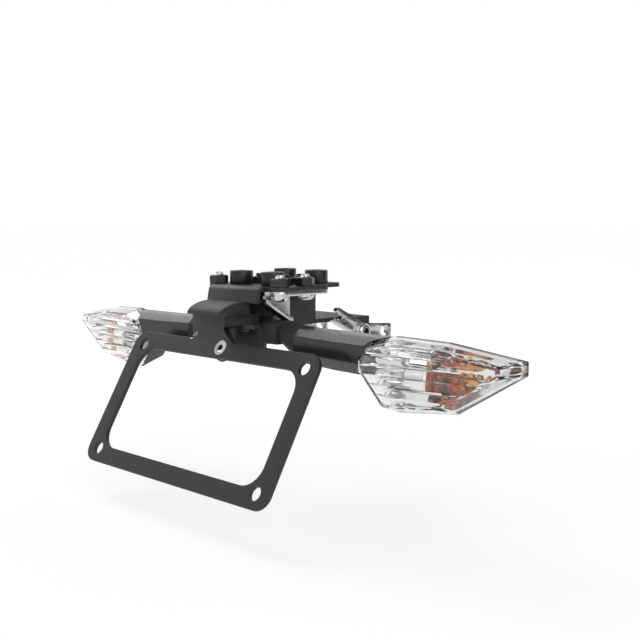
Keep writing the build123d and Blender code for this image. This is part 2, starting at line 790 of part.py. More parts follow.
# Reflectors: thin bowls in the shells with a flange under the lens, a hole for the post of the bulb holder
# and a shroud that hides the holder
post_reach = cap_start + socket_length / 2
socket_radius = cap_diameter / 2 + clearance + socket_wall
shroud_inner = socket_radius + head_gap
shroud_outer = shroud_inner + reflector_wall
shroud_floor = cap_start - socket_wall - head_gap
shroud_end = cap_end + shroud_mouth
bowl_inset = head_wall + head_gap
bowl_depth = shell_floor - head_gap
bowl = loft(
    [head_outline(0, inset=bowl_inset), head_outline(-bowl_depth, shell_taper, bowl_inset)],
    ruled=True,
)
lens_room = loft(
    [
        head_outline(0, inset=bowl_inset),
        head_outline(lens_floor - flute_root - flute_height - head_gap, lens_taper, bowl_inset),
    ],
    ruled=True,
)
with BuildPart() as shroud:
    with BuildSketch(bulb_plane.offset(shroud_floor - reflector_wall)):
        Circle(shroud_outer)
    extrude(amount=shroud_end - shroud_floor + reflector_wall)
    fillet(shroud.edges().filter_by(GeomType.CIRCLE), shroud_edge)
with BuildPart() as reflector:
    add(bowl)
    loft(
        [
            head_outline(0, inset=bowl_inset + reflector_wall),
            head_outline(reflector_wall - bowl_depth, reflector_taper, bowl_inset),
        ],
        ruled=True,
        mode=Mode.SUBTRACT,
    )
    extrude(head_outline(0, inset=seal_width + head_gap), seal_thickness)
    extrude(head_outline(0, inset=bowl_inset + reflector_wall), seal_thickness, mode=Mode.SUBTRACT)
    add(shroud.part & (bowl + lens_room))
    with BuildSketch(bulb_plane.offset(shroud_floor)):
        Circle(shroud_inner)
    extrude(amount=shroud_end - shroud_floor, mode=Mode.SUBTRACT)
    with BuildSketch(head_plane):
        with Locations((post_reach, -bulb_drop)):
            Circle(socket_post / 2 + head_gap)
    extrude(amount=-shell_depth, mode=Mode.SUBTRACT)
write_pair(reflector.part, "signal_reflector")

# Bulb holders: a cup for the bulb's cap, on a post from the shell's floor
with BuildPart() as socket:
    with BuildSketch(bulb_plane.offset(cap_start - socket_wall)):
        Circle(socket_radius)
    extrude(amount=socket_wall + socket_length)
    with BuildSketch(head_plane.offset(-shell_floor)):
        with Locations((post_reach, -bulb_drop)):
            Circle(socket_post / 2)
    extrude(amount=shell_floor)
    with BuildSketch(bulb_plane.offset(cap_start)):
        Circle(cap_diameter / 2 + clearance)
    extrude(amount=socket_length, mode=Mode.SUBTRACT)
write_pair(socket.part, "signal_socket")

# Bulbs: a metal cap and an amber glass
with BuildPart() as bulb_cap:
    with BuildSketch(bulb_plane.offset(cap_start)):
        Circle(cap_diameter / 2)
    extrude(amount=cap_length)
write_pair(bulb_cap.part, "bulb_cap")
bulb_side = Plane(origin=bulb_plane.origin, x_dir=head_plane.x_dir, z_dir=-head_plane.z_dir)
with BuildPart() as bulb:
    with BuildSketch(bulb_side):
        with BuildLine():
            bulb_radius = bulb_diameter / 2
            shoulder = (cap_end + bulb_radius, bulb_radius)
            dome = (bulb_end - bulb_radius, bulb_radius)
            Polyline((bulb_end, 0), (cap_end, 0), (cap_end, cap_diameter / 2 - socket_wall), shoulder, dome)
            RadiusArc(dome, (bulb_end, 0), bulb_radius)
        make_face()
    revolve(axis=Axis(bulb_plane.origin, head_plane.x_dir))
write_pair(bulb.part, "bulb_glass")
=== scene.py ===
from math import atan2, cos, hypot, pi, radians, sin, tan

import bmesh
import bpy
from mathutils import Matrix, Vector


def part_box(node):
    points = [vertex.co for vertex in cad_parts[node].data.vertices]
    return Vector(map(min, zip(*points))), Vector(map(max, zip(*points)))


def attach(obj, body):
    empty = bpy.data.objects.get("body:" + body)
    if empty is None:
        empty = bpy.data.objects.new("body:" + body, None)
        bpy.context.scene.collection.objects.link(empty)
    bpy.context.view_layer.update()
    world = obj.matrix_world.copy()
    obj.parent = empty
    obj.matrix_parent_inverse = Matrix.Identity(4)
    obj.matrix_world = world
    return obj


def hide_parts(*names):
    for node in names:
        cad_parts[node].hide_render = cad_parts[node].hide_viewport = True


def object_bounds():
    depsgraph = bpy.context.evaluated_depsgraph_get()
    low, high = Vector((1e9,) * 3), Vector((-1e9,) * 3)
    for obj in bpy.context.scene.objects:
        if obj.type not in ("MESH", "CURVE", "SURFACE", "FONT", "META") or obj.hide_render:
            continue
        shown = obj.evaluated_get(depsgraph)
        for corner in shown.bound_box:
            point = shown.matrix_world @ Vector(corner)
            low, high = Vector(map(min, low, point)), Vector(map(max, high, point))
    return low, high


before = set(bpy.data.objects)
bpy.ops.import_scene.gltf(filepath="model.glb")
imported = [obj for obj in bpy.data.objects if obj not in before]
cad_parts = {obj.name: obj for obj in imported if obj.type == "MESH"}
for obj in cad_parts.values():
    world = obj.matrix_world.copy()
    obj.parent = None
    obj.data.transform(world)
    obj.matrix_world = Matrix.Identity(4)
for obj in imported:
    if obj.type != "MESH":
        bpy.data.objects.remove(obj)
cad_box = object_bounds()
scene = bpy.context.scene
scene.view_settings.view_transform = "Standard"
mm = 0.001


# Spacers
# Four bushes that stand the deck off from what carries it, turned from aluminium and anodised black.
# The lathe leaves fine rings round each bore, and the sharp edges are broken.
def surface_of(material):
    """The shader of a material's surface."""
    return material.node_tree.nodes["Principled BSDF"]


def finish(name, colour, roughness, metallic=0.0):
    """A new material with the main values of its surface set."""
    material = bpy.data.materials.new(name)
    material.use_nodes = True
    surface = surface_of(material)
    surface.inputs["Base Color"].default_value = (*colour, 1.0)
    surface.inputs["Roughness"].default_value = roughness
    surface.inputs["Metallic"].default_value = metallic
    return material


def add_node(material, kind, **settings):
    """A new node in a material, with its settings."""
    node = material.node_tree.nodes.new(kind)
    for key, value in settings.items():
        setattr(node, key, value)
    return node


def wire(material, output, socket):
    """Link an output to the socket of another node."""
    material.node_tree.links.new(output, socket)


def grain(material, size, stretch=(1, 1, 1), detail=4.0):
    """Noise whose grains are about that size in metres, drawn out along the stretched axes."""
    place = add_node(material, "ShaderNodeTexCoord")
    mapping = add_node(material, "ShaderNodeMapping")
    mapping.inputs["Scale"].default_value = [1.0 / (size * s) for s in stretch]
    noise = add_node(material, "ShaderNodeTexNoise")
    noise.inputs["Scale"].default_value = 1.0
    noise.inputs["Detail"].default_value = detail
    wire(material, place.outputs["Object"], mapping.inputs["Vector"])
    wire(material, mapping.outputs["Vector"], noise.inputs["Vector"])
    return noise.outputs["Fac"]


pattern_low = 0.3
pattern_high = 0.7


def vary_roughness(material, pattern, low, high):
    """Let the middle of the pattern's range move the roughness between two values."""
    spread = add_node(material, "ShaderNodeMapRange")
    spread.inputs["From Min"].default_value = pattern_low
    spread.inputs["From Max"].default_value = pattern_high
    spread.inputs["To Min"].default_value = low
    spread.inputs["To Max"].default_value = high
    wire(material, pattern, spread.inputs["Value"])
    wire(material, spread.outputs["Result"], surface_of(material).inputs["Roughness"])


def vary_colour(material, pattern, first, last):
    """Let the middle of the pattern's range move the colour from one tone to another."""
    ramp = add_node(material, "ShaderNodeValToRGB")
    ramp.color_ramp.elements[0].position = pattern_low
    ramp.color_ramp.elements[0].color = (*first, 1.0)
    ramp.color_ramp.elements[1].position = pattern_high
    ramp.color_ramp.elements[1].color = (*last, 1.0)
    wire(material, pattern, ramp.inputs["Fac"])
    wire(material, ramp.outputs["Color"], surface_of(material).inputs["Base Color"])


def emboss(material, pattern, depth):
    """Raise the pattern by that depth in metres."""
    bump = add_node(material, "ShaderNodeBump")
    bump.inputs["Distance"].default_value = depth
    wire(material, pattern, bump.inputs["Height"])
    wire(material, bump.outputs["Normal"], surface_of(material).inputs["Normal"])


def smooth_group(angle):
    """Modifier nodes that shade a mesh smoothly, apart from its edges sharper than the angle."""
    group = bpy.data.node_groups.new("smooth_faces", "GeometryNodeTree")
    group.interface.new_socket("Geometry", in_out="INPUT", socket_type="NodeSocketGeometry")
    group.interface.new_socket("Geometry", in_out="OUTPUT", socket_type="NodeSocketGeometry")
    start = group.nodes.new("NodeGroupInput")
    faces = group.nodes.new("GeometryNodeSetShadeSmooth")
    edges = group.nodes.new("GeometryNodeSetShadeSmooth")
    edges.domain = "EDGE"
    edge_angle = group.nodes.new("GeometryNodeInputMeshEdgeAngle")
    flat_enough = group.nodes.new("FunctionNodeCompare")
    flat_enough.operation = "LESS_THAN"
    flat_enough.inputs["B"].default_value = angle
    end = group.nodes.new("NodeGroupOutput")
    group.links.new(start.outputs[0], faces.inputs["Geometry"])
    group.links.new(faces.outputs["Geometry"], edges.inputs["Geometry"])
    group.links.new(edge_angle.outputs["Unsigned Angle"], flat_enough.inputs["A"])
    group.links.new(flat_enough.outputs["Result"], edges.inputs["Shade Smooth"])
    group.links.new(edges.outputs["Geometry"], end.inputs[0])
    return group


smooth_faces = smooth_group(radians(28))
rounded_from = radians(35)
weld_gap = 0.001 * mm


def dress(material, *names, edge=0.0):
    """Give CAD nodes their finish, join their loose triangles and break their sharp edges."""
    for name in names:
        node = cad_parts[name]
        for slot in node.material_slots:
            slot.material = material
        weld = node.modifiers.new("weld", "WELD")
        weld.merge_threshold = weld_gap
        if edge:
            bevel = node.modifiers.new("edge", "BEVEL")
            bevel.width = edge
            bevel.segments = 2
            bevel.limit_method = "ANGLE"
            bevel.angle_limit = rounded_from
        smooth = node.modifiers.new("smooth", "NODES")
        smooth.node_group = smooth_faces


def folded_place(material):
    """The place on a piece, without signs, so that mirrored sides read as one."""
    place = add_node(material, "ShaderNodeTexCoord")
    fold = add_node(material, "ShaderNodeVectorMath", operation="ABSOLUTE")
    wire(material, place.outputs["Object"], fold.inputs[0])
    return fold.outputs["Vector"]


def lathe_rings(material, bolt_x, bolt_y, pitch):
    """Rings round the four bores."""
    mapping = add_node(material, "ShaderNodeMapping")
    mapping.inputs["Location"].default_value = (-bolt_x, -bolt_y, 0)
    mapping.inputs["Scale"].default_value = (1, 1, 0)
    radius = add_node(material, "ShaderNodeVectorMath", operation="LENGTH")
    rings = add_node(material, "ShaderNodeTexNoise", noise_dimensions="1D")
    rings.inputs["Scale"].default_value = 1.0 / pitch
    wire(material, folded_place(material), mapping.inputs["Vector"])
    wire(material, mapping.outputs["Vector"], radius.inputs[0])
    wire(material, radius.outputs["Value"], rings.inputs["W"])
    return rings.outputs["Fac"]


spacer_reach = 7 * mm
spacer_edge = 0.5 * mm
ring_pitch = 0.25 * mm
ring_depth = 0.01 * mm
spacer_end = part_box("mount_spacers")[1]
bolt_x = spacer_end.x - spacer_reach
bolt_y = spacer_end.y - spacer_reach
black_anodised = finish("black_anodised", (0.03, 0.03, 0.032), 0.36, metallic=0.6)
bore_rings = lathe_rings(black_anodised, bolt_x, bolt_y, ring_pitch)
vary_roughness(black_anodised, bore_rings, 0.26, 0.46)
emboss(black_anodised, bore_rings, ring_depth)
dress(black_anodised, "mount_spacers", edge=spacer_edge)


# Deck
# The top plate that carries all the rest: steel sheet, laser cut and folded down at its rear lip.
# It is powder coated satin black, which leaves a faint orange peel and rounds off the cut edges.
sheet_edge = 0.4 * mm
peel_size = 0.6 * mm
peel_depth = 0.03 * mm


def powder_coat(name):
    """Satin black powder coat, with faint clouds in its colour and gloss."""
    material = finish(name, (0.027, 0.027, 0.025), 0.5)
    clouds = grain(material, 9 * mm, detail=3.0)
    vary_colour(material, clouds, (0.0245, 0.0245, 0.0225), (0.03, 0.03, 0.0275))
    vary_roughness(material, grain(material, 1.5 * mm, detail=3.0), 0.42, 0.56)
    emboss(material, grain(material, peel_size, detail=2.0), peel_depth)
    return material


black_powder = powder_coat("black_powder")
dress(black_powder, "deck", edge=sheet_edge)


# Link brackets
# Stainless gussets between the deck's wings and the hanger's cheeks, each with a lip along its sloping edge.
# They are cut from brushed sheet and folded, and the brushing runs from front to rear.
brush_width = 0.25 * mm
brush_stretch = (1, 40, 1)
brush_depth = 0.004 * mm
brushed_stainless = finish("brushed_stainless", (0.6, 0.6, 0.59), 0.3, metallic=1.0)
brushing = grain(brushed_stainless, brush_width, brush_stretch)
vary_colour(brushed_stainless, brushing, (0.5, 0.5, 0.49), (0.66, 0.66, 0.64))
vary_roughness(brushed_stainless, grain(brushed_stainless, 2 * mm, (1, 6, 1)), 0.2, 0.34)
emboss(brushed_stainless, brushing, brush_depth)
dress(brushed_stainless, "link_bracket_right", "link_bracket_left", edge=sheet_edge)


# Screws and nuts of the link brackets
# M6 button-head screws of bright stainless steel come up through bracket and wing into black hexagon nuts.
# Heads and nuts are cold formed, the keys are punched and the threads are rolled. The shade inside each key
# is painted on as a dark grey.
turn_steps = 36


def turned(outline, closed=False):
    """A mesh turned about the Z axis from an outline of radius and height."""
    shape = bmesh.new()
    corners = [shape.verts.new((reach, 0.0, rise)) for reach, rise in outline]
    ends = corners[1:] + corners[:1] if closed else corners[1:]
    sides = [shape.edges.new(pair) for pair in zip(corners, ends)]
    bmesh.ops.spin(
        shape, geom=corners + sides, cent=(0, 0, 0), axis=(0, 0, 1), angle=2 * pi, steps=turn_steps,
        use_merge=True,
    )
    bmesh.ops.remove_doubles(shape, verts=shape.verts, dist=weld_gap)
    return shape


def wind(shape, outline, pitch, turns):
    """Wind a closed outline of radius and height round the Z axis, going down, and close its two ends."""
    corners = [shape.verts.new((reach, 0.0, rise)) for reach, rise in outline]
    sides = [shape.edges.new(pair) for pair in zip(corners, corners[1:] + corners[:1])]
    bmesh.ops.spin(
        shape, geom=corners + sides, cent=(0, 0, 0), axis=(0, 0, 1), dvec=(0, 0, -pitch / turn_steps),
        angle=2 * pi * turns, steps=turns * turn_steps,
    )
    open_edges = [edge for edge in shape.edges if edge.is_boundary]
    bmesh.ops.holes_fill(shape, edges=open_edges, sides=len(outline))


def take_in(shape, other):
    """Move another mesh into this one."""
    carrier = bpy.data.meshes.new("carrier")
    other.to_mesh(carrier)
    other.free()
    shape.from_mesh(carrier)
    bpy.data.meshes.remove(carrier)


def threaded_shank(size, pitch, top, length):
    """A shank below the origin: a core with a chamfered end and a rolled ridge wound round it."""
    root = size / 2 - 0.55 * pitch
    shank = turned([(0, top), (root, top), (root, pitch - length), (root - pitch / 2, -length), (0, -length)])
    turns = int((length + top) / pitch) - 1
    middle = top - pitch / 2
    crest = 0.08 * pitch
    foot = 0.46 * pitch
    sunk = root - 0.1 * pitch
    outline = [
        (sunk, middle + foot), (size / 2, middle + crest), (size / 2, middle - crest), (sunk, middle - foot),
    ]
    wind(shank, outline, pitch, turns)
    return shank


half_side = radians(30)


def corner_reach(across):
    """How far a hexagon's corners are from its middle."""
    return across / 2 / cos(half_side)


key_depth = 1.6 * mm
key_lead = 0.2 * mm


def socket_screw(head_outline, key, size, pitch, shank_top, length):
    """A screw with a hexagon key: its head is turned from the axis below round to the mouth of the key."""
    shape = turned(head_outline)
    rim = [edge for edge in shape.edges if edge.is_boundary]
    mouth = Matrix.Translation((0, 0, head_outline[-1][1] - key_lead)) @ Matrix.Rotation(half_side, 4, "Z")
    bmesh.ops.create_circle(shape, segments=6, radius=corner_reach(key), matrix=mouth)
    hexagon = [edge for edge in shape.edges if edge.is_wire]
    bmesh.ops.subdivide_edges(shape, edges=hexagon, cuts=turn_steps // 6 - 1)
    hexagon = [edge for edge in shape.edges if edge.is_wire]
    lead = bmesh.ops.bridge_loops(shape, edges=rim + hexagon)["faces"]
    sunk = bmesh.ops.extrude_edge_only(shape, edges=hexagon)["geom"]
    floor_corners = [item for item in sunk if isinstance(item, bmesh.types.BMVert)]
    floor_edges = [item for item in sunk if isinstance(item, bmesh.types.BMEdge)]
    key_faces = lead + [item for item in sunk if isinstance(item, bmesh.types.BMFace)]
    bmesh.ops.translate(shape, vec=(0, 0, -key_depth), verts=floor_corners)
    key_faces += bmesh.ops.contextual_create(shape, geom=floor_edges)["faces"]
    # The key's faces take the second material, the painted shade of the recess.
    for face in key_faces:
        face.material_index = 1
    take_in(shape, threaded_shank(size, pitch, shank_top, length))
    return shape


def button_head(head, height, key):
    """Outline of a low rounded head, from the middle of its underside to the mouth of its key."""
    dome = 0.7 * height
    flat = head / 2 - dome
    mouth = corner_reach(key) + key_lead
    angles = [radians(a) for a in range(0, 91, 15)]
    arc = [(flat + dome * cos(a), height - dome + dome * sin(a)) for a in angles]
    return [(0, 0), (head / 2, 0), *arc, (mouth, height)]


thread_gap = 0.05 * mm
nut_chamfer = radians(30)


def hex_nut(size, across, height):
    """A hexagon nut on the origin, with its corners chamfered on both ends."""
    land = 0.47 * across
    bore = size / 2 + thread_gap
    lead = 0.08 * size
    shape = turned(
        [
            (bore, lead), (bore, height - lead), (bore + lead, height), (land, height), (across / 2, height),
            (across / 2, 0), (land, 0), (bore + lead, 0),
        ],
        closed=True,
    )
    for corner in shape.verts:
        if hypot(corner.co.x, corner.co.y) > (land + across / 2) / 2:
            stretch = 1 / cos(atan2(corner.co.y, corner.co.x) % (2 * half_side) - half_side)
            drop = (stretch * across / 2 - land) * tan(nut_chamfer)
            corner.co.z += drop if corner.co.z < height / 2 else -drop
            corner.co.xy *= stretch
    return shape


def stand(place, axis, across):
    """The place of a mesh whose Z axis goes along the axis and whose X axis goes across."""
    up = Vector(axis).normalized()
    side = Vector(across)
    turn = Matrix((side, up.cross(side), up)).transposed().to_4x4()
    return Matrix.Translation(place) @ turn


def gather(one, places):
    """One mesh with a copy of the shape at each place."""
    master = bpy.data.meshes.new("master")
    one.to_mesh(master)
    one.free()
    group = bmesh.new()
    for place in places:
        copy = master.copy()
        copy.transform(place)
        group.from_mesh(copy)
        bpy.data.meshes.remove(copy)
    bpy.data.meshes.remove(master)
    return group


bright_steel = finish("bright_steel", (0.6, 0.6, 0.59), 0.2, metallic=1.0)
vary_colour(bright_steel, grain(bright_steel, 1.2 * mm), (0.54, 0.54, 0.53), (0.64, 0.64, 0.63))
vary_roughness(bright_steel, grain(bright_steel, 0.5 * mm), 0.14, 0.26)
black_zinc = finish("black_zinc", (0.03, 0.03, 0.032), 0.32, metallic=0.5)
vary_colour(black_zinc, grain(black_zinc, 2 * mm), (0.024, 0.024, 0.026), (0.038, 0.037, 0.036))
vary_roughness(black_zinc, grain(black_zinc, 0.5 * mm), 0.26, 0.4)
# Painted shade: the faces of each key get this dark grey, which stands in for the shade inside the recess.
key_shade_steel = finish("key_shade_steel", (0.07, 0.07, 0.07), 0.5, metallic=0.8)
vary_colour(key_shade_steel, grain(key_shade_steel, 0.6 * mm), (0.05, 0.05, 0.05), (0.09, 0.09, 0.088))
vary_roughness(key_shade_steel, grain(key_shade_steel, 0.3 * mm), 0.42, 0.6)


def piece(name, shape, material, node, inside=None):
    """A finished mesh becomes a piece of the object that stands for the CAD node."""
    bmesh.ops.recalc_face_normals(shape, faces=shape.faces)
    mesh = bpy.data.meshes.new(name)
    shape.to_mesh(mesh)
    shape.free()
    mesh.materials.append(material)
    if inside:
        mesh.materials.append(inside)
    made = bpy.data.objects.new(name, mesh)
    scene.collection.objects.link(made)
    smooth = made.modifiers.new("smooth", "NODES")
    smooth.node_group = smooth_faces
    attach(made, "root")
    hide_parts(node)


def four_middles(node, reach_x, reach_y):
    """The middles of four like pieces, seen from above, from the box round them all."""
    low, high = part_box(node)
    return [
        (x, y) for x in (low.x + reach_x, high.x - reach_x) for y in (low.y + reach_y, high.y - reach_y)
    ]


shank_bite = 0.4 * mm


def upright_screws(name, node, screw_parts, head, head_height, material):
    """Four screws that point up, with their heads below."""
    low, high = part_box(node)
    seat = low.z + head_height
    screw = socket_screw(*screw_parts, shank_bite, high.z - seat)
    places = [stand((x, y, seat), (0, 0, -1), (1, 0, 0)) for x, y in four_middles(node, head / 2, head / 2)]
    piece(name, gather(screw, places), material, node, inside=key_shade_steel)


def upright_nuts(name, node, size, across, height, material):
    """Four nuts that stand on the deck."""
    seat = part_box(node)[0].z
    middles = four_middles(node, corner_reach(across), across / 2)
    places = [stand((x, y, seat), (0, 0, 1), (1, 0, 0)) for x, y in middles]
    piece(name, gather(hex_nut(size, across, height), places), material, node)


m6 = 6 * mm
m6_pitch = 1 * mm
m6_head = 10.5 * mm
m6_head_height = 3.3 * mm
m6_key = 4 * mm
m6_nut = 10 * mm
m6_nut_height = 5 * mm
m6_screw = (button_head(m6_head, m6_head_height, m6_key), m6_key, m6, m6_pitch)
upright_screws("link_button_screws", "link_screws", m6_screw, m6_head, m6_head_height, bright_steel)
upright_nuts("link_hexagon_nuts", "link_nuts", m6, m6_nut, m6_nut_height, black_zinc)


# Hanger and its screws
# Folded and welded sheet under the deck: cheeks and flanges above, then the shelf, the ears and the lug.
# Four black-zinc M5 button-head screws hold its flanges under the deck, with nuts on top.
m5 = 5 * mm
m5_pitch = 0.8 * mm
m5_head = 9.5 * mm
m5_head_height = 2.75 * mm
m5_key = 3 * mm
m5_nut = 8 * mm
m5_nut_height = 4 * mm
dress(black_powder, "hanger", edge=sheet_edge)
m5_screw = (button_head(m5_head, m5_head_height, m5_key), m5_key, m5, m5_pitch)
upright_screws("hanger_button_screws", "hanger_screws", m5_screw, m5_head, m5_head_height, black_zinc)
upright_nuts("hanger_hexagon_nuts", "hanger_nuts", m5, m5_nut, m5_nut_height, black_zinc)


# Stays and their screws
# Forked straps of brushed stainless sheet on the hanger's front ears, which brace it towards the front.
# Each is held by one M6 button-head screw with a nut inside the ear.
dress(brushed_stainless, "stay_right", "stay_left", edge=sheet_edge)
stay_screw_length = 12.5 * mm
low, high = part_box("stay_screws")
_, stay_y, stay_z = (low + high) / 2
stay_face = high.x - m6_head_height
stay_places = [stand((s * stay_face, stay_y, stay_z), (s, 0, 0), (0, 1, 0)) for s in (1, -1)]
stay_screws = gather(socket_screw(*m6_screw, shank_bite, stay_screw_length), stay_places)
piece("stay_button_screws", stay_screws, bright_steel, "stay_screws", inside=key_shade_steel)
nut_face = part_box("stay_nuts")[1].x
nut_places = [stand((s * nut_face, stay_y, stay_z), (-s, 0, 0), (0, 1, 0)) for s in (1, -1)]
stay_nuts = gather(hex_nut(m6, m6_nut, m6_nut_height), nut_places)
piece("stay_hexagon_nuts", stay_nuts, bright_steel, "stay_nuts")


# Plate frame, its screw and nut
# Laser-cut steel sheet with a folded tab, powder coated, with a painted glint of bright metal at the slot
# that relieves the fold.
# A countersunk M5 socket screw and a nut clamp it to the hanger's lug.
glint_steel = (0.6, 0.6, 0.58)


def glint_patch(material, place, turn, reach):
    """A painted glint: bright metal in a block round the place, turned about Y, that reaches so far along its
    three axes.
    """
    coords = add_node(material, "ShaderNodeTexCoord")
    mapping = add_node(material, "ShaderNodeMapping", vector_type="TEXTURE")
    mapping.inputs["Location"].default_value = place
    mapping.inputs["Rotation"].default_value = (0, turn, 0)
    mapping.inputs["Scale"].default_value = reach
    fold = add_node(material, "ShaderNodeVectorMath", operation="ABSOLUTE")
    split = add_node(material, "ShaderNodeSeparateXYZ")
    wide = add_node(material, "ShaderNodeMath", operation="MAXIMUM")
    widest = add_node(material, "ShaderNodeMath", operation="MAXIMUM")
    inside = add_node(material, "ShaderNodeMath", operation="LESS_THAN")
    inside.inputs[1].default_value = 1.0
    wire(material, coords.outputs["Object"], mapping.inputs["Vector"])
    wire(material, mapping.outputs["Vector"], fold.inputs[0])
    wire(material, fold.outputs["Vector"], split.inputs["Vector"])
    wire(material, split.outputs["X"], wide.inputs[0])
    wire(material, split.outputs["Y"], wide.inputs[1])
    wire(material, wide.outputs["Value"], widest.inputs[0])
    wire(material, split.outputs["Z"], widest.inputs[1])
    wire(material, widest.outputs["Value"], inside.inputs[0])
    colour = surface_of(material).inputs["Base Color"]
    # The colour sockets of this node are its inputs 6 and 7 and its output 2.
    mix = add_node(material, "ShaderNodeMix", data_type="RGBA")
    mix.inputs[7].default_value = (*glint_steel, 1.0)
    wire(material, inside.outputs["Value"], mix.inputs["Factor"])
    wire(material, colour.links[0].from_socket, mix.inputs[6])
    wire(material, mix.outputs[2], colour)
    wire(material, inside.outputs["Value"], surface_of(material).inputs["Metallic"])


# Painted glint: bright metal on the powder coat at the relief slot, where the light catches the corner.
slot_place = Vector((-27, -44.1, -38.6)) * mm
slot_turn = radians(-33)
slot_reach = Vector((3.6, 1, 0.8)) * mm
frame_powder = powder_coat("frame_powder")
glint_patch(frame_powder, slot_place, slot_turn, slot_reach)
dress(frame_powder, "plate_frame")
csk_head = 9.4 * mm
csk_cone = 2.2 * mm
csk_mouth = 1.95 * mm
csk_bite = 0.1 * mm
plate_screw_length = 11 * mm
plate_lean = radians(30)
plate_axis = Vector((0, -cos(plate_lean), sin(plate_lean)))
low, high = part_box("plate_screw")
screw_face = (0, low.y + csk_head / 2 * plate_axis.z, high.z + csk_head / 2 * plate_axis.y)
screw_place = stand(screw_face, plate_axis, (1, 0, 0))
csk_outline = [(0, -csk_cone), (m5 / 2, -csk_cone), (csk_head / 2, 0), (csk_mouth, 0)]
plate_screw = socket_screw(csk_outline, m5_key, m5, m5_pitch, csk_bite - csk_cone, plate_screw_length)
plate_screw = gather(plate_screw, [screw_place])
piece("plate_csk_screw", plate_screw, bright_steel, "plate_screw", inside=key_shade_steel)
low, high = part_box("plate_nut")
nut_place = stand((low + high) / 2 - plate_axis * m5_nut_height / 2, plate_axis, (1, 0, 0))
plate_nut = gather(hex_nut(m5, m5_nut, m5_nut_height), [nut_place])
piece("plate_hexagon_nut", plate_nut, bright_steel, "plate_nut")


# Plate lamp
# A hooded moulding of grained black plastic, held to the shelf from below by two small black screws.
# A clear window is snapped into it, and above that a white circuit board carries three light sources.
hood_edge = 0.5 * mm
small_screw_edge = 0.15 * mm
window_edge = 0.2 * mm
grained_plastic = finish("grained_plastic", (0.021, 0.021, 0.0205), 0.55)
vary_roughness(grained_plastic, grain(grained_plastic, 0.8 * mm), 0.48, 0.64)
emboss(grained_plastic, grain(grained_plastic, 0.35 * mm), 0.02 * mm)
dress(grained_plastic, "lamp_housing", edge=hood_edge)
dress(black_zinc, "lamp_screws", edge=small_screw_edge)
clear_lens = finish("clear_lens", (0.945, 0.95, 0.935), 0.02)
surface_of(clear_lens).inputs["Transmission Weight"].default_value = 1.0
surface_of(clear_lens).inputs["IOR"].default_value = 1.49
emboss(clear_lens, grain(clear_lens, 7 * mm, detail=1.0), 0.03 * mm)
dress(clear_lens, "lamp_lens", edge=window_edge)
white_mask = finish("white_mask", (0.75, 0.76, 0.74), 0.4)
vary_roughness(white_mask, grain(white_mask, 0.6 * mm), 0.3, 0.5)
dress(white_mask, "lamp_board")
yellow_phosphor = finish("yellow_phosphor", (0.85, 0.78, 0.3), 0.35)
vary_roughness(yellow_phosphor, grain(yellow_phosphor, 0.4 * mm), 0.3, 0.45)
dress(yellow_phosphor, "lamp_leds")


# Dampers, studs, washers and nuts of the turn signals
# A moulded rubber block and neck lets each stalk give when it is knocked.
# A threaded M5 stud in the stalk goes through the damper and the ear, with a washer and a nut inside.
moulded_edge = 0.2 * mm
washer_edge = 0.15 * mm
black_rubber = finish("black_rubber", (0.022, 0.022, 0.022), 0.65)
vary_roughness(black_rubber, grain(black_rubber, 1.2 * mm), 0.58, 0.75)
emboss(black_rubber, grain(black_rubber, 0.5 * mm), 0.02 * mm)
sides = {"right": 1, "left": -1}
for side, sign in sides.items():
    dress(black_rubber, f"signal_damper_{side}", edge=moulded_edge)
    dress(bright_steel, f"signal_washer_{side}", edge=washer_edge)
    low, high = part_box(f"signal_stud_{side}")
    stud_length = (high - low).x
    stud_end = (low + high) / 2 + Vector((sign * stud_length / 2, 0, 0))
    stud_place = stand(stud_end, (sign, 0, 0), (0, 1, 0))
    stud = gather(threaded_shank(m5, m5_pitch, 0.0, stud_length), [stud_place])
    piece(f"signal_thread_{side}", stud, bright_steel, f"signal_stud_{side}")
    low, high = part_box(f"signal_nut_{side}")
    nut_foot = (low + high) / 2 - Vector((m5_nut_height / 2, 0, 0))
    nut = gather(hex_nut(m5, m5_nut, m5_nut_height), [stand(nut_foot, (1, 0, 0), (0, 1, 0))])
    piece(f"signal_hexagon_nut_{side}", nut, bright_steel, f"signal_nut_{side}")


# Bodies of the turn signals
# Stalk and shell are one moulding of semi-gloss black plastic with a faceted stalk.
# The stud is moulded into the stalk's root, and the shell is open to the rear for the lens.
stalk_black = finish("stalk_black", (0.014, 0.0145, 0.015), 0.28)
vary_roughness(stalk_black, grain(stalk_black, 2 * mm), 0.22, 0.34)
emboss(stalk_black, grain(stalk_black, 1.5 * mm, detail=2.0), 0.003 * mm)
dress(stalk_black, "signal_body_right", "signal_body_left")


# Reflectors and bulb holders
# Thin plastic bowls, metallised in a vacuum, with a flange under the lens and a shroud round the bulb's cap.
# The holder in the shroud is a grey plastic cup on a post from the shell's floor.
chrome = finish("chrome", (0.88, 0.88, 0.88), 0.08, metallic=1.0)
vary_roughness(chrome, grain(chrome, 3 * mm), 0.05, 0.12)
dress(chrome, "signal_reflector_right", "signal_reflector_left")
holder_grey = finish("holder_grey", (0.3, 0.29, 0.27), 0.5)
vary_roughness(holder_grey, grain(holder_grey, 0.8 * mm), 0.42, 0.6)
dress(holder_grey, "signal_socket_right", "signal_socket_left", edge=moulded_edge)


# Bulbs
# Blown glass, coated amber, in a cap of plated brass that is pushed into the holder.
# The coating is dipped on, and it runs thin towards the tip.
cap_edge = 0.2 * mm
plated_brass = finish("plated_brass", (0.75, 0.7, 0.6), 0.3, metallic=1.0)
vary_roughness(plated_brass, grain(plated_brass, 0.6 * mm), 0.22, 0.4)
dress(plated_brass, "bulb_cap_right", "bulb_cap_left", edge=cap_edge)


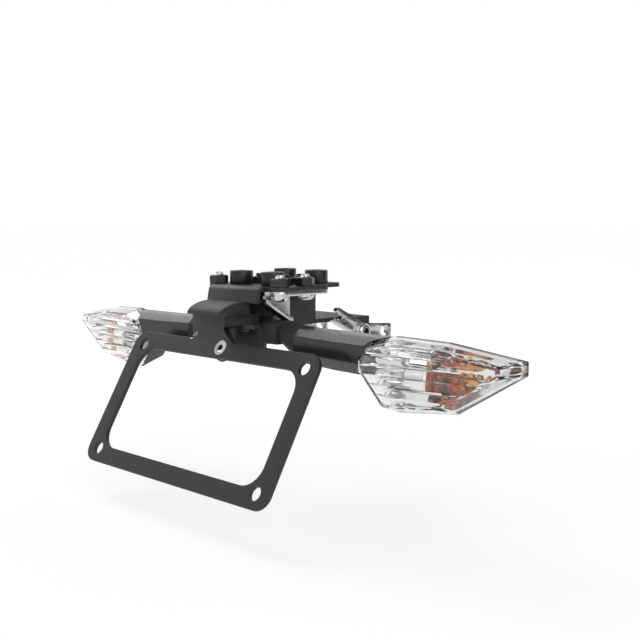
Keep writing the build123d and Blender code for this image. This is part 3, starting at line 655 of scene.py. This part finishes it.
def along_pair(material, start, end):
    """0 to 1 along a piece on the right and its mirror image on the left, going outwards."""
    split = add_node(material, "ShaderNodeSeparateXYZ")
    reach = add_node(material, "ShaderNodeMapRange")
    reach.inputs["From Min"].default_value = start
    reach.inputs["From Max"].default_value = end
    wire(material, folded_place(material), split.inputs["Vector"])
    wire(material, split.outputs["X"], reach.inputs["Value"])
    return reach.outputs["Result"]


thick_amber = (0.6, 0.14, 0.06)
thin_amber = (0.95, 0.45, 0.08)
amber = finish("amber", thick_amber, 0.03)
surface_of(amber).inputs["Transmission Weight"].default_value = 1.0
low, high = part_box("bulb_glass_right")
vary_colour(amber, along_pair(amber, low.x, high.x), thick_amber, thin_amber)
dress(amber, "bulb_glass_right", "bulb_glass_left")


# Seals and lenses of the turn signals
# A black rubber line seals each shell, and a clear moulded lens is bonded over it.
# The lens is smooth outside and has round flutes inside that spread the light.
lens_edge = 0.4 * mm
for side in sides:
    dress(black_rubber, f"signal_seal_{side}", edge=moulded_edge)
    dress(clear_lens, f"signal_lens_{side}", edge=lens_edge)


# Floor, light and camera
# A pale floor that keeps the part's soft shadow, with soft light from both sides and from the room.
# A black cloth at the front right gives the part's bright metal something dark to mirror.
def seen_directly(material):
    """1 where a ray from the camera, a mirror or a clear piece looks at the background, and else 0."""
    path = add_node(material, "ShaderNodeLightPath")
    total = path.outputs["Is Camera Ray"]
    for name in ("Is Glossy Ray", "Is Transmission Ray"):
        step = add_node(material, "ShaderNodeMath", operation="MAXIMUM")
        wire(material, total, step.inputs[0])
        wire(material, path.outputs[name], step.inputs[1])
        total = step.outputs["Value"]
    return total


white = (1.0, 1.0, 1.0, 1.0)
ceiling_grey = (0.25, 0.25, 0.25, 1.0)
ceiling_start = 0.25
ceiling_end = 0.8
room_light = 0.75
world = bpy.data.worlds.new("studio")
scene.world = world
world.use_nodes = True
background = world.node_tree.nodes["Background"]
level = add_node(world, "ShaderNodeMapRange")
level.inputs["To Min"].default_value = room_light
level.inputs["To Max"].default_value = 1.0
wire(world, seen_directly(world), level.inputs["Value"])
wire(world, level.outputs["Result"], background.inputs["Strength"])
direction = add_node(world, "ShaderNodeTexCoord")
split = add_node(world, "ShaderNodeSeparateXYZ")
ceiling = add_node(world, "ShaderNodeValToRGB")
ceiling.color_ramp.elements[0].position = ceiling_start
ceiling.color_ramp.elements[0].color = white
ceiling.color_ramp.elements[1].position = ceiling_end
ceiling.color_ramp.elements[1].color = ceiling_grey
wire(world, direction.outputs["Generated"], split.inputs["Vector"])
wire(world, split.outputs["Z"], ceiling.inputs["Fac"])
wire(world, ceiling.outputs["Color"], background.inputs["Color"])


def studio_sheet(name, reach, place, material):
    """A square sheet that belongs to the studio and not to the object."""
    shape = bmesh.new()
    bmesh.ops.create_grid(shape, x_segments=1, y_segments=1, size=reach, matrix=place)
    mesh = bpy.data.meshes.new(name)
    shape.to_mesh(mesh)
    shape.free()
    mesh.materials.append(material)
    sheet = bpy.data.objects.new(name, mesh)
    scene.collection.objects.link(sheet)
    return sheet


floor_drop = 0.02
floor_reach = 20.0
near = 0.2
far = 1.2
near_glow = 0.64
far_glow = 0.8
pale_floor = finish("pale_floor", (0.55, 0.55, 0.55), 1.0)
floor_surface = surface_of(pale_floor)
floor_surface.inputs["Specular IOR Level"].default_value = 0.0
floor_surface.inputs["Emission Color"].default_value = white
floor_place = add_node(pale_floor, "ShaderNodeTexCoord")
distance = add_node(pale_floor, "ShaderNodeVectorMath", operation="LENGTH")
fade = add_node(pale_floor, "ShaderNodeMapRange")
fade.inputs["From Min"].default_value = near
fade.inputs["From Max"].default_value = far
fade.inputs["To Min"].default_value = near_glow
fade.inputs["To Max"].default_value = far_glow
glow = add_node(pale_floor, "ShaderNodeMath", operation="MULTIPLY")
wire(pale_floor, floor_place.outputs["Object"], distance.inputs[0])
wire(pale_floor, distance.outputs["Value"], fade.inputs["Value"])
wire(pale_floor, seen_directly(pale_floor), glow.inputs[0])
wire(pale_floor, fade.outputs["Result"], glow.inputs[1])
wire(pale_floor, glow.outputs["Value"], floor_surface.inputs["Emission Strength"])
studio_sheet("floor", floor_reach, Matrix.Translation((0, 0, cad_box[0][2] - floor_drop)), pale_floor)

middle = (Vector(cad_box[0]) + Vector(cad_box[1])) / 2
flag_reach = 0.3
flag_offset = Vector((0.6, 0.6, 0.0))
flag_turn = flag_offset.to_track_quat("Z", "Y").to_matrix().to_4x4()
flag_place = Matrix.Translation(middle + flag_offset) @ flag_turn
flag = studio_sheet("flag", flag_reach, flag_place, finish("black_cloth", (0.03, 0.03, 0.03), 0.9))
flag.visible_camera = False
flag.visible_diffuse = False
flag.visible_transmission = False
flag.visible_shadow = False


def softbox(name, offset, size, power):
    """A square area lamp that faces the middle of the object."""
    lamp = bpy.data.lights.new(name, "AREA")
    lamp.size = size
    lamp.energy = power
    holder = bpy.data.objects.new(name, lamp)
    holder.location = middle + offset
    holder.rotation_euler = (-offset).to_track_quat("-Z", "Y").to_euler()
    scene.collection.objects.link(holder)


softbox("key", Vector((-1.015, 0.116, 1.03)), size=1.0, power=8.0)
softbox("fill", Vector((1.0, -0.4, 0.5)), size=0.8, power=3.0)

camera_place = Vector((444.2, -407.0, 30.8)) * mm
camera_aim = Vector((-0.7051, 0.7018, -0.1014))
focal_length = 55.66
sensor_width = 36.0
lens = bpy.data.cameras.new("camera")
lens.lens = focal_length
lens.sensor_width = sensor_width
camera = bpy.data.objects.new("camera", lens)
camera.location = camera_place
camera.rotation_euler = camera_aim.to_track_quat("-Z", "Y").to_euler()
scene.collection.objects.link(camera)
scene.camera = camera
